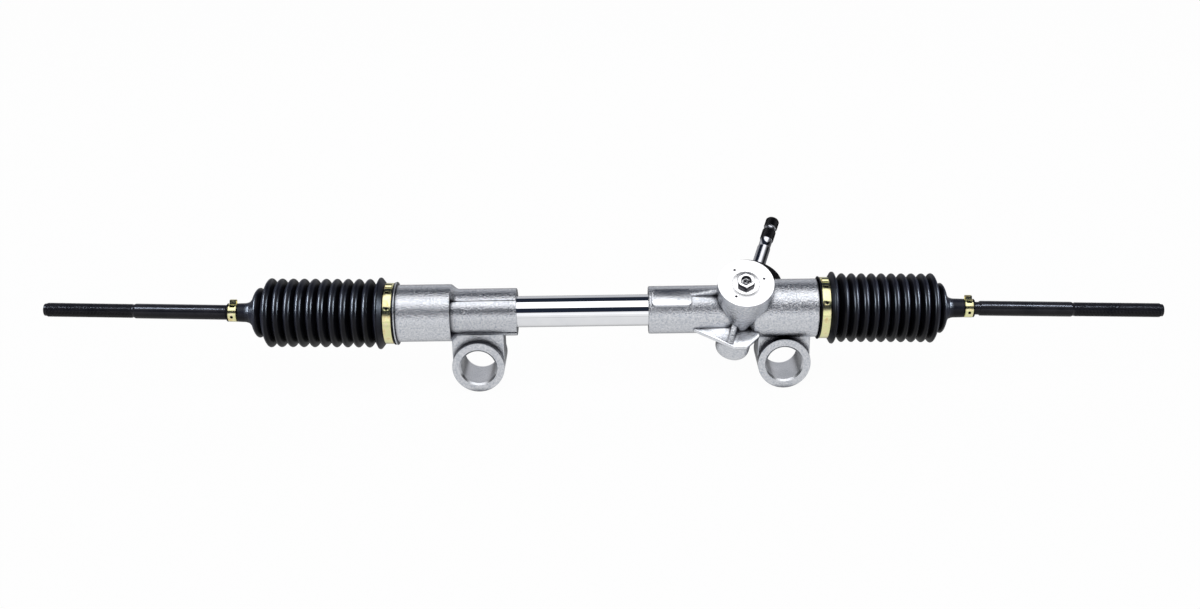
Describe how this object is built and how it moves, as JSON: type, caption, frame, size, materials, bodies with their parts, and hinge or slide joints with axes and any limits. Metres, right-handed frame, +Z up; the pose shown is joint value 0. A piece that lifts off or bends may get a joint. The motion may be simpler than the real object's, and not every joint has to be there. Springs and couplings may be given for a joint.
{
  "type": "steering rack",
  "caption": "Manual rack-and-pinion steering gear with cast housings, centre tube, bellows boots, splined input shaft and threaded tie rods.",
  "frame": {"origin": "centre of the pinion-side mounting bore", "axes": "+X along the rack towards the pinion-side tie rod, +Y along the mounting bores towards the back, +Z up"},
  "size_m": [1.1372, 0.1624, 0.1424],
  "materials": {
    "cast": "as-cast aluminium, fine shot-blasted grain",
    "machined": "turned aluminium",
    "chrome": "polished chrome plate",
    "black_oxide": "black oxide on turned steel",
    "bright_steel": "ground steel",
    "zinc": "yellow zinc plate",
    "boot": "glossy black moulded rubber",
    "seal": "black seal rubber",
    "polymer": "acetal bearing plastic",
    "cap": "black moulded cap",
    "bronze": "sintered bronze"
  },
  "bodies": {
    "housing": {"pinion_housing": "cast", "end_housing": "cast", "centre_tube": "chrome", "rack_bush": "polymer", "rack_yoke": "machined", "yoke_liner": "polymer", "yoke_spring": "bright_steel", "spring_seat": "bright_steel", "yoke_plug": "machined", "yoke_plug_seal": "seal", "adjuster_screw": "bright_steel", "adjuster_lock_nut": "bright_steel", "bearing_outer_race": "bright_steel", "bearing_circlip": "black_oxide", "pinion_seal": "seal", "pinion_dust_cap": "cap", "lower_bush": "bronze", "left_boot": "boot", "right_boot": "boot", "left_large_clamp": "zinc", "right_large_clamp": "zinc"},
    "rack": {"rack_bar": "bright_steel", "left_ball_socket": "bright_steel", "left_socket_lock_nut": "bright_steel", "left_socket_lock_pin": "bright_steel", "left_ball_seat": "polymer", "left_seat_spring": "bright_steel", "right_ball_socket": "bright_steel", "right_socket_lock_nut": "bright_steel", "right_socket_lock_pin": "bright_steel", "right_ball_seat": "polymer", "right_seat_spring": "bright_steel"},
    "pinion": {"pinion_shaft": "black_oxide", "bearing_inner_race": "bright_steel", "shaft_circlip": "black_oxide"},
    "bearing_cage_set": {"bearing_balls": "bright_steel", "bearing_cage": "bronze"},
    "left_tie_rod": {"left_tie_rod": "black_oxide", "left_small_clamp": "zinc"},
    "right_tie_rod": {"right_tie_rod": "black_oxide", "right_small_clamp": "zinc"}
  },
  "joints": [
    {"name": "rack_slide", "type": "slide", "parent": "housing", "child": "rack", "axis": [1, 0, 0], "range_m": [-0.0653, 0.0747], "deforming": ["left_boot", "right_boot"]},
    {"name": "pinion_spin", "type": "hinge", "parent": "housing", "child": "pinion", "pos_m": [-0.0412, 0.00859, 0.03973], "axis": [0.3173, 0.7768, 0.5439], "range_deg": [-625, 715]},
    {"name": "bearing_cage_spin", "type": "hinge", "parent": "housing", "child": "bearing_cage_set", "pos_m": [-0.03232, 0.03034, 0.05496], "axis": [0.3173, 0.7768, 0.5439], "range_deg": [-240, 274]},
    {"name": "left_tie_rod_swing", "type": "hinge", "parent": "rack", "child": "left_tie_rod", "pos_m": [-0.4474, 0, 0.052], "axis": [0, 1, 0], "range_deg": [-11.8, 8.2]},
    {"name": "right_tie_rod_swing", "type": "hinge", "parent": "rack", "child": "right_tie_rod", "pos_m": [0.079, 0, 0.052], "axis": [0, 1, 0], "range_deg": [-11.55, 8.45]}
  ],
  "couplings": [
    {"joint": "pinion_spin", "follows": "rack_slide", "rad_per_m": 166.67},
    {"joint": "bearing_cage_spin", "follows": "rack_slide", "rad_per_m": 63.626}
  ]
}
